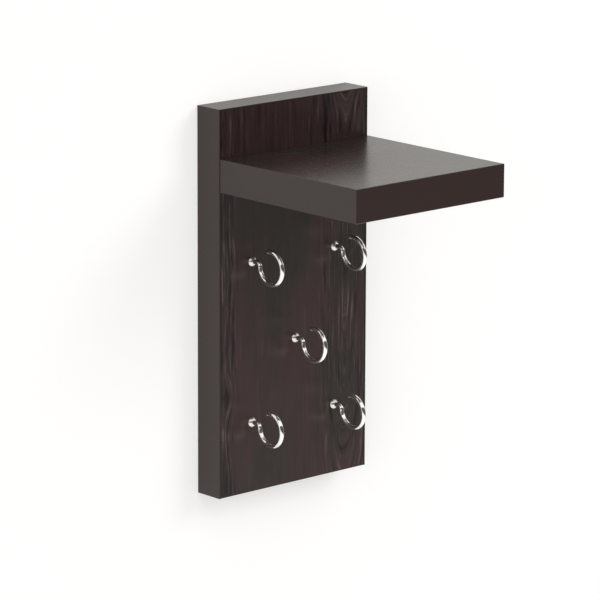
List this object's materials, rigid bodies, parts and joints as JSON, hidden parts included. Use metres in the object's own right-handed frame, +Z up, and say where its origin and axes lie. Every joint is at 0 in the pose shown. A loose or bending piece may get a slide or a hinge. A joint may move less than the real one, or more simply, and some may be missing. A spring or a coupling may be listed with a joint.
{
  "type": "wall key holder",
  "caption": "Dark laminated wall panel with a small square shelf near its top and bright wire hooks below it for hanging keys.",
  "frame": {"origin": "middle of the back panel's rear face, which lies against the wall", "axes": "+X to the right seen from the front, +Y into the wall, +Z up; the shelf and hooks stand out along -Y"},
  "size_m": [0.1, 0.117, 0.2],
  "materials": {
    "laminate": "dark wood-grain melamine laminate, satin",
    "edge_band": "plain dark brown edge band, satin",
    "nickel": "bright nickel plate",
    "zinc_screw": "zinc plated"
  },
  "bodies": {
    "root": {"back_panel": "laminate", "panel_left_band": "edge_band", "panel_right_band": "edge_band", "panel_top_band": "edge_band", "panel_bottom_band": "edge_band", "shelf_board": "laminate", "shelf_left_band": "edge_band", "shelf_right_band": "edge_band", "shelf_front_band": "edge_band", "shelf_screw_left": "zinc_screw", "shelf_screw_right": "zinc_screw", "hook_upper_left": "nickel", "hook_upper_right": "nickel", "hook_middle": "nickel", "hook_lower_left": "nickel", "hook_lower_right": "nickel", "collar_upper_left": "nickel", "collar_upper_right": "nickel", "collar_middle": "nickel", "collar_lower_left": "nickel", "collar_lower_right": "nickel"}
  },
  "joints": []
}
